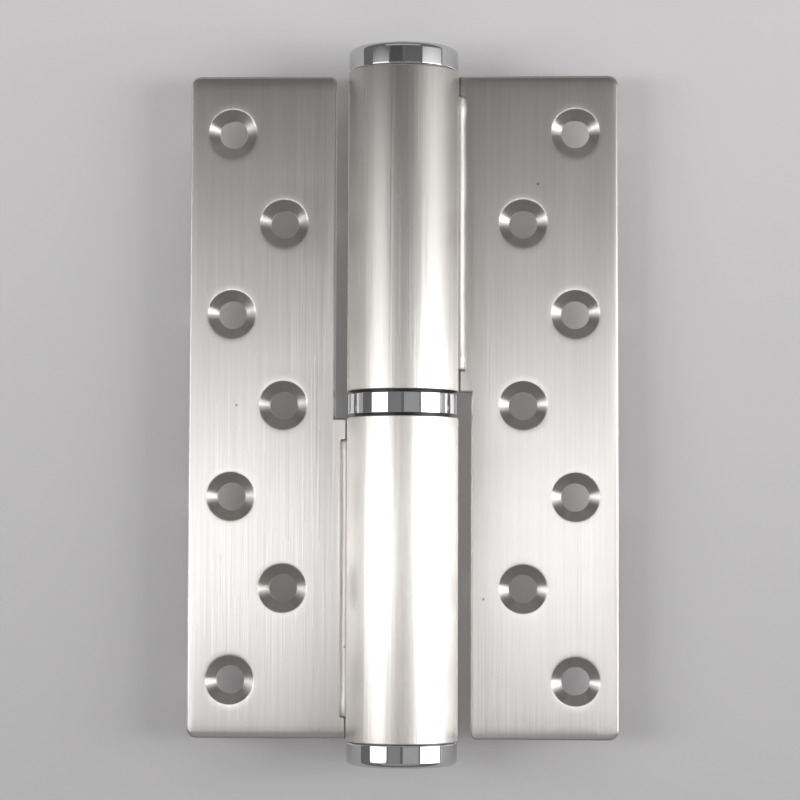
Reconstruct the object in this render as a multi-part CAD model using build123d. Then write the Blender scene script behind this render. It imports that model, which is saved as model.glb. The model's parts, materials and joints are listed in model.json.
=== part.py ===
from build123d import *
import math
import os

# Self-closing hinge, opened flat. Millimetres, +Z along the hinge axis, origin on the axis at
# mid-height, +X towards the door leaf, -Y towards the side that the screws go in from.

# Leaves: two flat plates, each welded to its own barrel
leaf_height = 150.0
leaf_reach = 48.5  # hinge axis to the outer edge
leaf_thickness = 3.5
leaf_setback = 1.5  # hinge axis to the front faces, half the gap between the closed leaves
leaf_outer_corner = 2.2
leaf_inner_corner = 1.4
leaf_edge_round = 0.5
leaf_free_gap = 2.9  # free inner edge to the other leaf's barrel
leaf_seam = 0.15  # joint line between a leaf and its own barrel

# Countersunk screw holes, in two columns that take turns
screw_rows = 7
screw_end_margin = 13.08
screw_edge_margin = 9.6
screw_column_gap = 11.8
screw_hole_diameter = 6.4
countersink_diameter = 10.9
countersink_angle = 90.0

# Weld beads
weld_width = 1.8
weld_inner_stop = 4.0  # from the barrel's inner end
weld_outer_stop = 4.0  # from the leaf's end
weld_fit = 0.01

# Barrels
barrel_diameter = 25.0
barrel_wall = 3.0
barrel_overhang = 0.2  # past the leaf's end
barrel_edge_round = 0.25
knuckle_gap = 5.8  # between the two barrels
upper_shoulder = 2.5

# End caps, with a key hole through each
cap_inset = 0.1  # the cap is this much smaller than the barrel, on the radius
cap_height = 5.2
cap_edge_round = 1.2
cap_spigot = 3.2
key_hole_diameter = 9.0
key_hole_bevel = 0.5

# Ring and ball bearing between the barrels
ring_inset = 0.25  # the ring is this much smaller than the barrel, on the radius
ring_side_gap = 0.6
ring_edge_round = 0.3
ring_wall = 1.4
ring_rib = 0.4
rib_side_gap = 0.3
race_gap = 0.2  # around the spindle
cage_gap = 0.34
cage_web = 0.35
cage_thickness = 1.4
pocket_play = 0.06
pocket_spacing = 0.9
ball_play = 0.02

# Clearances
running_clearance = 0.05  # turning and sliding fits, on the radius
fixed_clearance = 0.02  # pressed, screwed and pinned fits, on the radius
stop_clearance = 0.6  # room left at the ends of a travel

# Spindle with its helical slots, and the cross pin that runs in them
opening_angle = 180.0
spindle_lead = 28.0  # rod travel for a whole turn
spindle_head = 6.0
spindle_end_wall = 2.2
cross_pin_diameter = 3.0
cross_pin_inset = 0.25  # each end lies this far inside the guide sleeve
slot_play = 0.1  # beside the pin
slot_end_play = 0.4
spindle_dowels = 4
spindle_dowel_diameter = 1.8
spindle_dowel_in_head = 3.5
spindle_dowel_in_shoulder = 1.9

# Bush, seal and guide sleeve in the lower barrel
bush_wall = 1.0
bush_length = 5.0
seal_length = 2.6
seal_spare = 0.4
sleeve_wall = 3.08
sleeve_gap = 0.2  # around the spindle
sleeve_top_wall = 2.5
sleeve_overlap = 0.8  # past the spindle's end
sleeve_dowels = 2
sleeve_dowel_diameter = 1.6
sleeve_dowel_depth = 2.0
sleeve_dowel_edge = 0.2  # dowel to the sleeve's outer face
snap_ring_thickness = 1.0
snap_ring_width = 1.6
snap_ring_seat = 0.5  # depth of its groove in the bore
snap_ring_opening = 5.0

# Piston rod and damper piston
rod_diameter = 7.0
rod_top_diameter = 5.0
rod_foot_diameter = 5.6
rod_oil_bore = 3.6
rod_oil_port = 1.4
rod_port_height = 1.5  # above the piston
piston_height = 6.6
piston_clearance = 0.1
piston_ring_section = 1.8
piston_ring_land = 0.9
ring_groove_play = 0.15
check_valves = 3
check_ball_diameter = 2.4
check_port = 1.8
check_chamber = 3.0
check_chamber_depth = 3.0
check_seat_play = 0.02
valve_plate_thickness = 0.8
valve_plate_rim = 0.6
valve_slot_width = 0.8
valve_slot_length = 2.6

# Pusher, nut and washers under and over the spring
pusher_thickness = 3.0
nut_across_flats = 8.0
nut_height = 4.0
rod_past_nut = 1.5
thrust_washer_thickness = 1.0
washer_gap = 0.3
seat_thickness = 1.5
seat_face_play = 0.02

# Closing spring
spring_wire = 2.8
spring_side_gap = 0.5
spring_coil_gap = 0.3  # between coils at the strongest setting

# Tension plug, turned by a hexagon key through the top cap
tension_plug_height = 8.8
tension_key = 6.0
tension_key_depth = 5.0
tension_pitch = 1.5
tension_turns = 3
plug_cap_gap = 0.4

# End plug and speed regulator, turned by a hexagon key through the bottom cap
end_plug_land = 1.5
end_plug_ring_section = 1.8
regulator_diameter = 6.0
regulator_length = 4.0
regulator_key = 3.0
regulator_key_depth = 2.2
regulator_ring_section = 1.0
regulator_ring_land = 0.25
regulator_pitch = 0.75
regulator_turns = 2
needle_diameter = 2.8
needle_tip = 1.5
needle_tip_diameter = 1.4
needle_gap = 0.4
needle_engagement = 2.0  # length of needle inside the rod with the door open

# Radii worked out from the sizes above
barrel_r = barrel_diameter / 2
bore_r = barrel_r - barrel_wall
cap_r = barrel_r - cap_inset
fixed_r = bore_r - fixed_clearance
sleeve_inner_r = fixed_r - sleeve_wall
spindle_r = sleeve_inner_r - sleeve_gap
rod_r = rod_diameter / 2
rod_top_r = rod_top_diameter / 2
rod_foot_r = rod_foot_diameter / 2
bush_r = spindle_r + running_clearance + bush_wall
pin_r = cross_pin_diameter / 2
regulator_r = regulator_diameter / 2
needle_r = needle_diameter / 2

# Heights of the outer pieces
leaf_top = leaf_height / 2
barrel_end = leaf_top + barrel_overhang
half_gap = knuckle_gap / 2
cap_inner = barrel_end - cap_spigot
cap_top = barrel_end + cap_height
leaf_free_edge = barrel_r + leaf_free_gap
screw_pitch = (leaf_height - 2 * screw_end_margin) / (screw_rows - 1)

# Heights down the lower barrel
rod_travel = spindle_lead * opening_angle / 360
shoulder_low = -half_gap - bush_length - seal_length - seal_spare
slot_top = shoulder_low - sleeve_top_wall
pin_height = slot_top - slot_end_play - pin_r
slot_low = pin_height - rod_travel - pin_r - slot_end_play
spindle_end = slot_low - spindle_end_wall
sleeve_end = spindle_end - sleeve_overlap
snap_ring_low = sleeve_end - snap_ring_thickness
piston_top = snap_ring_low - stop_clearance
piston_low = piston_top - piston_height
regulator_travel = regulator_pitch * regulator_turns
end_plug_low = plug_cap_gap - cap_inner
end_plug_step = end_plug_low + regulator_length + regulator_travel + plug_cap_gap
end_plug_top = end_plug_step + end_plug_land
needle_top = piston_low + needle_engagement
oil_bore_top = needle_top + rod_travel + regulator_travel + stop_clearance

# Heights up the upper barrel
shoulder_top = half_gap + upper_shoulder
head_top = shoulder_top + spindle_head
pusher_low = head_top + rod_travel + stop_clearance
pusher_top = pusher_low + pusher_thickness
rod_top = pusher_top + nut_height + rod_past_nut
spring_low = pusher_top + thrust_washer_thickness
tension_plug_top = cap_inner - plug_cap_gap
tension_plug_low = tension_plug_top - tension_plug_height
seat_top = tension_plug_low - seat_face_play
spring_high = seat_top - seat_thickness
tension_travel = tension_pitch * tension_turns

# The frame's side is the door's side turned half a turn about Y
HALF_TURN = Rot(0, 180, 0)
UP = (Align.CENTER, Align.CENTER, Align.MIN)


def turned(low, high, outer, inner=0.0):
    """Round bar, or tube, on the hinge axis between two heights."""
    bar = Pos(0, 0, low) * Cylinder(outer, high - low, align=UP)
    if inner:
        bar -= Pos(0, 0, low) * Cylinder(inner, high - low, align=UP)
    return bar


def round_bars(low, high, radius, circle, count, start=0.0):
    """Like bars side by side on a circle about the hinge axis."""
    bar = turned(low, high, radius)
    return [place * bar for place in PolarLocations(circle, count, start_angle=start)]


def hexagon(low, high, across_flats):
    """Hexagonal bar on the hinge axis."""
    face = RegularPolygon(across_flats / 2, 6, major_radius=False)
    return Pos(0, 0, low) * extrude(face, high - low)


def rubber_ring(height, radius, section):
    """O-ring about the hinge axis, by the radius of its middle line."""
    return Pos(0, 0, height) * Torus(radius, section / 2)


def ring_groove(height, floor, outer, section):
    """Cutter for the groove that holds an O-ring."""
    half = section / 2 + ring_groove_play
    return turned(height - half, height + half, outer, floor)


def save(name, shape):
    export_step(shape, f"parts/{name}.step")


os.makedirs("parts", exist_ok=True)


# Leaves
def screw_hole():
    """Cutter for one countersunk hole, from the front face backwards along +Y."""
    hole_r = screw_hole_diameter / 2
    sink_r = countersink_diameter / 2
    slope = math.tan(math.radians(countersink_angle / 2))
    depth = (sink_r - hole_r) / slope
    ahead = leaf_setback
    sink = Pos(0, 0, -ahead) * Cone(sink_r + ahead * slope, hole_r, depth + ahead, align=UP)
    hole = Cylinder(hole_r, 2 * leaf_thickness, align=UP)
    return Pos(0, leaf_setback, 0) * Rot(-90, 0, 0) * (sink + hole)


def leaf():
    """Door leaf: drawn to the hinge axis, rounded, trimmed by its barrel and drilled."""
    corners = [
        (0, half_gap),
        (0, leaf_top),
        (leaf_reach, leaf_top),
        (leaf_reach, -leaf_top),
        (leaf_free_edge, -leaf_top),
        (leaf_free_edge, half_gap),
    ]
    outline = make_face(Polyline(*corners, close=True))
    outline = fillet(outline.vertices().group_by(Axis.X)[-1], leaf_outer_corner)
    foot = outline.vertices().sort_by(Axis.Y)[:2].sort_by(Axis.X)[0]
    outline = fillet(foot, leaf_inner_corner)
    plate = extrude(Plane.XZ.offset(-leaf_setback) * outline, -leaf_thickness)
    plate = fillet(plate.faces().filter_by(Axis.Y).edges(), leaf_edge_round)
    plate -= turned(-barrel_end, barrel_end, barrel_r + leaf_seam)
    hole = screw_hole()
    for row in range(screw_rows):
        column = screw_edge_margin + (row % 2) * screw_column_gap
        plate -= Pos(leaf_reach - column, 0, leaf_top - screw_end_margin - row * screw_pitch) * hole
    return plate


door_leaf = leaf()
save("door_leaf", door_leaf)
save("frame_leaf", HALF_TURN * door_leaf)


# Barrels
def barrel_bar(low, high):
    """Outside of a barrel, with its two rims broken."""
    bar = turned(low, high, barrel_r)
    return fillet(bar.edges().filter_by(GeomType.CIRCLE), barrel_edge_round)


spindle_dowel_circle = (spindle_r + bore_r) / 2
spindle_dowel_low = shoulder_top - spindle_dowel_in_shoulder
spindle_dowel_high = shoulder_top + spindle_dowel_in_head
spindle_dowel_r = spindle_dowel_diameter / 2
spindle_dowel_holes = round_bars(
    spindle_dowel_low,
    spindle_dowel_high,
    spindle_dowel_r + fixed_clearance,
    spindle_dowel_circle,
    spindle_dowels,
)

upper_barrel = barrel_bar(half_gap, barrel_end)
upper_barrel -= turned(shoulder_top, barrel_end, bore_r)
upper_barrel -= turned(half_gap, shoulder_top, spindle_r + running_clearance)
upper_barrel -= spindle_dowel_holes
save("upper_barrel", upper_barrel)

sleeve_dowel_r = sleeve_dowel_diameter / 2
sleeve_dowel_circle = fixed_r - sleeve_dowel_edge - sleeve_dowel_r
sleeve_dowel_low = shoulder_low - sleeve_dowel_depth
sleeve_dowel_high = shoulder_low + sleeve_dowel_depth
sleeve_dowel_holes = round_bars(
    sleeve_dowel_low,
    sleeve_dowel_high,
    sleeve_dowel_r + fixed_clearance,
    sleeve_dowel_circle,
    sleeve_dowels,
    start=90,
)
snap_ring_r = bore_r + snap_ring_seat

lower_barrel = barrel_bar(-barrel_end, -half_gap)
lower_barrel -= turned(-barrel_end, shoulder_low, bore_r)
lower_barrel -= turned(shoulder_low, -half_gap, bush_r + fixed_clearance)
lower_barrel -= turned(snap_ring_low, sleeve_end, snap_ring_r)
lower_barrel -= sleeve_dowel_holes
save("lower_barrel", lower_barrel)


# Weld beads: quarter-round, in the corner between the leaf's face and the barrel
def weld_bead():
    corner = math.sqrt(barrel_r**2 - leaf_setback**2)
    low = half_gap + weld_inner_stop + weld_width
    high = leaf_top - weld_outer_stop - weld_width
    bead = Pos(0, 0, low) * Cylinder(weld_width, high - low, align=UP)
    bead += Pos(0, 0, low) * Sphere(weld_width)
    bead += Pos(0, 0, high) * Sphere(weld_width)
    bead = Pos(corner, leaf_setback, 0) * bead
    bead -= turned(0, barrel_end, barrel_r + weld_fit)
    behind = (Align.CENTER, Align.MIN, Align.CENTER)
    bead -= Pos(corner, leaf_setback, 0) * Box(leaf_reach, leaf_thickness, leaf_height, align=behind)
    return bead


upper_weld = weld_bead()
save("upper_weld", upper_weld)
save("lower_weld", HALF_TURN * upper_weld)


# End caps
def cap():
    """Top cap: a chromed disc with a spigot in the barrel and a hole for the key."""
    disc = turned(barrel_end, cap_top, cap_r)
    rims = disc.edges().filter_by(GeomType.CIRCLE).sort_by(Axis.Z)
    disc = fillet(rims[-1], cap_edge_round)
    rims = disc.edges().filter_by(GeomType.CIRCLE).sort_by(Axis.Z)
    disc = fillet(rims[0], barrel_edge_round)
    disc += turned(cap_inner, barrel_end, fixed_r)
    key_r = key_hole_diameter / 2
    disc -= turned(cap_inner, cap_top, key_r)
    bevel = Cone(key_r, key_r + key_hole_bevel, key_hole_bevel, align=UP)
    return disc - Pos(0, 0, cap_top - key_hole_bevel) * bevel


top_cap = cap()
save("top_cap", top_cap)
save("bottom_cap", HALF_TURN * top_cap)

# Thrust ball bearing and its chromed ring
ring_r = barrel_r - ring_inset
ring_bore_r = ring_r - ring_wall
rib_r = ring_bore_r - ring_rib
ball_circle = (spindle_r + rib_r) / 2
pocket_r = (rib_r - spindle_r) / 2 - cage_gap - cage_web
ball_r = pocket_r - pocket_play
race_thickness = half_gap - ball_r - ball_play
race_inner_r = spindle_r + race_gap
race_outer_r = ring_bore_r - running_clearance
balls = int(2 * math.pi * ball_circle / (2 * pocket_r + pocket_spacing))

ring_half = half_gap - ring_side_gap
rib_half = half_gap - race_thickness - rib_side_gap
ring_body = turned(-ring_half, ring_half, ring_r)
ring_body = fillet(ring_body.edges().filter_by(GeomType.CIRCLE), ring_edge_round)
ring_body -= turned(-ring_half, ring_half, rib_r)
ring_body -= turned(rib_half, ring_half, ring_bore_r)
ring_body -= turned(-ring_half, -rib_half, ring_bore_r)
save("bearing_ring", ring_body)

save("upper_race", turned(half_gap - race_thickness, half_gap, race_outer_r, race_inner_r))
save("lower_race", turned(-half_gap, race_thickness - half_gap, race_outer_r, race_inner_r))

cage_half = cage_thickness / 2
cage_low_r = ball_circle - pocket_r - cage_web
cage_high_r = ball_circle + pocket_r + cage_web
cage = turned(-cage_half, cage_half, cage_high_r, cage_low_r)
cage -= round_bars(-cage_half, cage_half, pocket_r, ball_circle, balls)
save("bearing_cage", cage)

ball_places = PolarLocations(ball_circle, balls)
save("bearing_balls", Compound([place * Sphere(ball_r) for place in ball_places]))


# Spindle: left-hand helical slots turn the door's swing into the rod's travel
def helical_slots():
    """Twisted slab that cuts both slots, level with the pin along X at the open pose."""
    turn_per_mm = 360 / spindle_lead
    lead_angle = math.atan(spindle_lead / (2 * math.pi * spindle_r))
    width = (cross_pin_diameter + 2 * slot_play) / math.sin(lead_angle)
    height = slot_top - slot_low
    slab = Rectangle(2 * sleeve_inner_r, width).face()
    start = (pin_height - slot_low) * turn_per_mm
    twisted = Solid.extrude_linear_with_rotation(
        slab, center=(0, 0, 0), normal=(0, 0, height), angle=-height * turn_per_mm
    )
    return Pos(0, 0, slot_low) * Rot(0, 0, start) * twisted


rod_guide_r = rod_r + running_clearance
spindle = turned(shoulder_top, head_top, fixed_r) + turned(spindle_end, shoulder_top, spindle_r)
spindle -= turned(spindle_end, head_top, rod_guide_r)
spindle -= helical_slots()
spindle -= spindle_dowel_holes
save("spindle", spindle)

dowels = round_bars(
    spindle_dowel_low, spindle_dowel_high, spindle_dowel_r, spindle_dowel_circle, spindle_dowels
)
save("spindle_dowels", Compound(dowels))

# Bush and seal around the spindle
bush_low = -half_gap - bush_length
save("spindle_bush", turned(bush_low, -half_gap, bush_r, spindle_r + running_clearance))
save("spindle_seal", turned(bush_low - seal_length, bush_low, bush_r, spindle_r + fixed_clearance))

# Guide sleeve with its straight slots, dowels and snap ring
guide_slot = Box(2 * barrel_r, cross_pin_diameter + 2 * slot_play, slot_top - slot_low, align=UP)
guide_sleeve = turned(sleeve_end, shoulder_low, fixed_r, sleeve_inner_r)
guide_sleeve -= Pos(0, 0, slot_low) * guide_slot
guide_sleeve -= sleeve_dowel_holes
save("guide_sleeve", guide_sleeve)

dowels = round_bars(
    sleeve_dowel_low, sleeve_dowel_high, sleeve_dowel_r, sleeve_dowel_circle, sleeve_dowels, start=90
)
save("sleeve_dowels", Compound(dowels))

snap_ring_outer_r = snap_ring_r - fixed_clearance
snap_ring = turned(snap_ring_low, sleeve_end, snap_ring_outer_r, snap_ring_outer_r - snap_ring_width)
forward = (Align.MIN, Align.CENTER, Align.MIN)
snap_ring -= Pos(0, 0, snap_ring_low) * Box(
    barrel_r, snap_ring_opening, snap_ring_thickness, align=forward
)
save("sleeve_snap_ring", snap_ring)

# Cross pin and piston rod
lengthwise = Rot(0, 90, 0)
pin_length = 2 * (fixed_r - cross_pin_inset)
save("cross_pin", Pos(0, 0, pin_height) * lengthwise * Cylinder(pin_r, pin_length))

piston_rod = turned(piston_top, pusher_low, rod_r)
piston_rod += turned(pusher_low, rod_top, rod_top_r)
piston_rod += turned(piston_low, piston_top, rod_foot_r)
piston_rod -= turned(piston_low, oil_bore_top, rod_oil_bore / 2)
oil_port = lengthwise * Cylinder(rod_oil_port / 2, 2 * rod_diameter)
piston_rod -= Pos(0, 0, piston_top + rod_port_height) * oil_port
pin_hole = lengthwise * Cylinder(pin_r + fixed_clearance, 2 * rod_diameter)
piston_rod -= Pos(0, 0, pin_height) * pin_hole
save("piston_rod", piston_rod)

# Piston with its seal and its check valves
piston_r = bore_r - piston_clearance
piston_ring_r = bore_r - running_clearance - piston_ring_section / 2
piston_groove_r = piston_ring_r - piston_ring_section / 2 - fixed_clearance
piston_ring_height = piston_top - piston_ring_land - piston_ring_section / 2 - ring_groove_play
check_circle = (rod_foot_r + piston_groove_r) / 2
check_ball_r = check_ball_diameter / 2
valve_plate_top = piston_low + valve_plate_thickness
chamber_top = valve_plate_top + check_chamber_depth
valve_plate_r = check_circle + check_chamber / 2 + valve_plate_rim

piston = turned(piston_low, piston_top, piston_r, rod_foot_r + fixed_clearance)
piston -= ring_groove(piston_ring_height, piston_groove_r, piston_r, piston_ring_section)
piston -= turned(piston_low, valve_plate_top, valve_plate_r + fixed_clearance)
piston -= round_bars(valve_plate_top, chamber_top, check_chamber / 2, check_circle, check_valves)
piston -= round_bars(chamber_top, piston_top, check_port / 2, check_circle, check_valves)
save("piston", piston)
save("piston_o_ring", rubber_ring(piston_ring_height, piston_ring_r, piston_ring_section))

seat_drop = math.sqrt(check_ball_r**2 - (check_port / 2) ** 2)
check_ball_height = chamber_top - seat_drop - check_seat_play
check_ball = Pos(0, 0, check_ball_height) * Sphere(check_ball_r)
check_places = PolarLocations(check_circle, check_valves)
save("check_balls", Compound([place * check_ball for place in check_places]))

valve_plate = turned(piston_low, valve_plate_top, valve_plate_r, rod_foot_r + fixed_clearance)
valve_slot = extrude(SlotOverall(valve_slot_length, valve_slot_width), valve_plate_thickness)
valve_slot = Pos(0, 0, piston_low) * Rot(0, 0, 90) * valve_slot
valve_plate -= [place * valve_slot for place in check_places]
save("valve_plate", valve_plate)

# Pusher, nut and thrust washer at the rod's upper end
nut_corner_r = nut_across_flats / 2 / math.cos(math.pi / 6)
spring_outer_r = bore_r - spring_side_gap
rod_top_hole_r = rod_top_r + fixed_clearance
save("pusher_disc", turned(pusher_low, pusher_top, bore_r - piston_clearance, rod_top_hole_r))
rod_nut = hexagon(pusher_top, pusher_top + nut_height, nut_across_flats)
rod_nut -= turned(pusher_top, pusher_top + nut_height, rod_top_hole_r)
save("rod_nut", rod_nut)
save("thrust_washer", turned(pusher_top, spring_low, spring_outer_r, nut_corner_r + washer_gap))

# Closing spring with ground ends
spring_length = spring_high - spring_low
spring_coils = int((spring_length - tension_travel) / (spring_wire + spring_coil_gap))
spring_r = spring_outer_r - spring_wire / 2
coil_line = Pos(0, 0, spring_low) * Helix(spring_length / spring_coils, spring_length, spring_r)
wire_face = Plane(coil_line @ 0, z_dir=coil_line % 0) * Circle(spring_wire / 2)
closing_spring = sweep(wire_face, path=coil_line, is_frenet=True)
closing_spring &= turned(spring_low, spring_high, bore_r)
save("closing_spring", closing_spring)

# Spring seat and tension plug
save("spring_seat", turned(spring_high, seat_top, spring_outer_r, nut_corner_r + washer_gap))
tension_plug = turned(tension_plug_low, tension_plug_top, bore_r - running_clearance)
tension_plug -= hexagon(tension_plug_top - tension_key_depth, tension_plug_top, tension_key)
save("tension_plug", tension_plug)

# End plug of the oil chamber
end_plug_ring_r = bore_r - fixed_clearance - end_plug_ring_section / 2
end_plug_groove_r = end_plug_ring_r - end_plug_ring_section / 2 - fixed_clearance
end_plug_middle = (end_plug_low + end_plug_top) / 2
end_plug = turned(end_plug_low, end_plug_top, fixed_r, needle_r + needle_gap)
end_plug -= turned(end_plug_low, end_plug_step, regulator_r)
end_plug -= ring_groove(end_plug_middle, end_plug_groove_r, fixed_r, end_plug_ring_section)
save("end_plug", end_plug)
save("end_plug_o_ring", rubber_ring(end_plug_middle, end_plug_ring_r, end_plug_ring_section))

# Speed regulator: a screw with a long needle, and its seal
regulator_top = end_plug_low + regulator_length
regulator_body_r = regulator_r - running_clearance
regulator_ring_r = regulator_r - fixed_clearance - regulator_ring_section / 2
regulator_groove_r = regulator_ring_r - regulator_ring_section / 2 - fixed_clearance
regulator_ring_height = (
    regulator_top - regulator_ring_land - ring_groove_play - regulator_ring_section / 2
)
needle_shank_top = needle_top - needle_tip
speed_regulator = turned(end_plug_low, regulator_top, regulator_body_r)
speed_regulator -= ring_groove(
    regulator_ring_height, regulator_groove_r, regulator_r, regulator_ring_section
)
speed_regulator += turned(regulator_top, needle_shank_top, needle_r)
needle_point = Cone(needle_r, needle_tip_diameter / 2, needle_tip, align=UP)
speed_regulator += Pos(0, 0, needle_shank_top) * needle_point
speed_regulator -= hexagon(end_plug_low, end_plug_low + regulator_key_depth, regulator_key)
save("speed_regulator", speed_regulator)
save("regulator_o_ring", rubber_ring(regulator_ring_height, regulator_ring_r, regulator_ring_section))
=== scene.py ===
import json
import math

import bmesh
import bpy
from mathutils import Matrix, Vector


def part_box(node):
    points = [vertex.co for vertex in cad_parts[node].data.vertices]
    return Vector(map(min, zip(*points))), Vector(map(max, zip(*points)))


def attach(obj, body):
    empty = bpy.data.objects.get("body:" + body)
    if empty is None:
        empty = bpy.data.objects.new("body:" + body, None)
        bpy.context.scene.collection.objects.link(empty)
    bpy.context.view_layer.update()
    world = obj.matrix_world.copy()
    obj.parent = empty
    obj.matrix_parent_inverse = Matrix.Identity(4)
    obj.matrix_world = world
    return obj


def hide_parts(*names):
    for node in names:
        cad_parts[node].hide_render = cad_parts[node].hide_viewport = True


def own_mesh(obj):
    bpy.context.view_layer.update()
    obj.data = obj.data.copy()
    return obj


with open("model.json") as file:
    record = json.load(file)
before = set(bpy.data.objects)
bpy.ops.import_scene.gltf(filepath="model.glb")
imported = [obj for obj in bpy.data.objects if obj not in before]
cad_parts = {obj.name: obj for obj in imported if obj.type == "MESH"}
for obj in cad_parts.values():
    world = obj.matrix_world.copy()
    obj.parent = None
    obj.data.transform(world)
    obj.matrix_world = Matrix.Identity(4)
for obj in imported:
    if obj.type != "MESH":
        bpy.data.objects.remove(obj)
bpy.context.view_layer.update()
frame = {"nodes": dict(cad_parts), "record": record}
bpy.ops.object.select_all(action="DESELECT")

# Leaves
# Two plates of stainless steel, each cut to an L so that it meets its own barrel and clears the other.
# The faces are brushed lengthwise, and each screw hole is countersunk and has a rolled rim.
mm = 0.001
leaf_low, leaf_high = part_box("door_leaf")
barrel_low, barrel_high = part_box("upper_barrel")
barrel_radius = barrel_high.x
leaf_free_gap = 2.9 * mm
leaf_seam = 0.6 * mm
leaf_outer_corner = 2.2 * mm
leaf_foot_corner = 1.4 * mm
leaf_edge_round = 0.5 * mm
sink_radius = 5.45 * mm
rim_start = 0.002 * mm
rim_roll = [
    (2.2 * mm, 0.25),
    (1.2 * mm, 0.8),
    (0.6 * mm, 1.8),
    (0.3 * mm, 3.5),
    (0.14 * mm, 8.0),
    (0.04 * mm, 20.0),
    (-0.04 * mm, 36.0),
    (-0.12 * mm, 45.0),
]
hole_radius = 3.2 * mm
edge_crown = [
    (6.0 * mm, 0.010 * mm),
    (4.2 * mm, 0.014 * mm),
    (2.8 * mm, 0.020 * mm),
    (1.7 * mm, 0.030 * mm),
    (1.0 * mm, 0.040 * mm),
]
leaf_free_edge = barrel_radius + leaf_free_gap
leaf_thickness = leaf_high.y - leaf_low.y
hole_steps = 96
openings = frame["record"]["physics"]["openings"]


def new_piece(name):
    """Names the shape that was just added, and puts its place and size in its mesh."""
    piece = bpy.context.object
    piece.name = name
    piece.data.name = name
    bpy.ops.object.transform_apply(location=True, rotation=True, scale=True)
    return piece


def pick(piece, kind, wanted):
    """Selects, in edit mode, only the faces, edges or corners that are wanted."""
    bpy.ops.mesh.select_mode(type={"faces": "FACE", "edges": "EDGE", "verts": "VERT"}[kind])
    bpy.ops.mesh.select_all(action="DESELECT")
    mesh = bmesh.from_edit_mesh(piece.data)
    for part in getattr(mesh, kind):
        if wanted(part):
            part.select_set(True)
    bmesh.update_edit_mesh(piece.data)


def cut(piece, cutter):
    """Cuts a closed shape out of a piece, and removes the cutter."""
    bpy.context.view_layer.objects.active = piece
    modifier = piece.modifiers.new("cut", "BOOLEAN")
    modifier.operation = "DIFFERENCE"
    modifier.solver = "EXACT"
    modifier.object = cutter
    bpy.ops.object.modifier_apply(modifier=modifier.name)
    bpy.data.objects.remove(cutter)


def arc(centre, radius, start, end, steps):
    """Points of an arc in a half section, by angles in degrees from the radius towards the height."""
    angles = [math.radians(start + (end - start) * i / steps) for i in range(steps + 1)]
    return [(centre[0] + radius * math.cos(a), centre[1] + radius * math.sin(a)) for a in angles]


def spin_section(name, outline, steps):
    """Draws half a section as (radius, height) points, and spins it round the hinge axis."""
    bpy.ops.object.select_all(action="DESELECT")
    bpy.ops.mesh.primitive_plane_add(size=mm)
    piece = new_piece(name)
    bpy.ops.object.mode_set(mode="EDIT")
    bpy.ops.mesh.select_mode(type="VERT")
    bpy.ops.mesh.select_all(action="SELECT")
    bpy.ops.mesh.merge(type="CENTER")
    bpy.ops.transform.translate(value=(outline[0][0], 0, outline[0][1]))
    for here, there in zip(outline, outline[1:] + outline[:1]):
        step = (there[0] - here[0], 0, there[1] - here[1])
        bpy.ops.mesh.extrude_vertices_move(TRANSFORM_OT_translate={"value": step})
    bpy.ops.mesh.select_all(action="SELECT")
    bpy.ops.mesh.spin(steps=steps, angle=math.tau, center=(0, 0, 0), axis=(0, 0, 1))
    bpy.ops.mesh.select_all(action="SELECT")
    bpy.ops.mesh.remove_doubles(threshold=mm / 2000)
    bpy.ops.mesh.normals_make_consistent(inside=False)
    bpy.ops.object.mode_set(mode="OBJECT")
    return piece


def smooth(piece):
    """Smooth shading that breaks at sharp edges and keeps broad faces flat."""
    bpy.ops.object.select_all(action="DESELECT")
    piece.select_set(True)
    bpy.context.view_layer.objects.active = piece
    bpy.ops.object.shade_smooth_by_angle(angle=math.radians(30))
    modifier = piece.modifiers.new("broad_faces", "WEIGHTED_NORMAL")
    modifier.keep_sharp = True
    bpy.ops.object.modifier_apply(modifier=modifier.name)


def turned_copy(piece, name):
    """Copy of a finished piece, turned half a turn about Y to the other side of the hinge."""
    bpy.ops.object.select_all(action="DESELECT")
    piece.select_set(True)
    bpy.context.view_layer.objects.active = piece
    bpy.ops.object.duplicate(linked=False)
    twin = new_piece(name)
    twin.data.transform(Matrix.Rotation(math.pi, 4, "Y"))
    return twin


def hole_centres(start):
    """Middle of each screw hole of one leaf, in the plane of the leaf."""
    boxes = [o["box_m"] for o in openings if o["name"].startswith(start)]
    return [((low[0] + high[0]) / 2, (low[2] + high[2]) / 2) for low, high in boxes]


def along(edge, axis):
    """True for an edge that lies along one axis."""
    span = edge.verts[1].co - edge.verts[0].co
    return abs(span[axis]) > 0.99 * span.length


def near(value, target):
    """True for two heights or widths that are the same but for rounding."""
    return abs(value - target) < mm / 100


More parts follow.
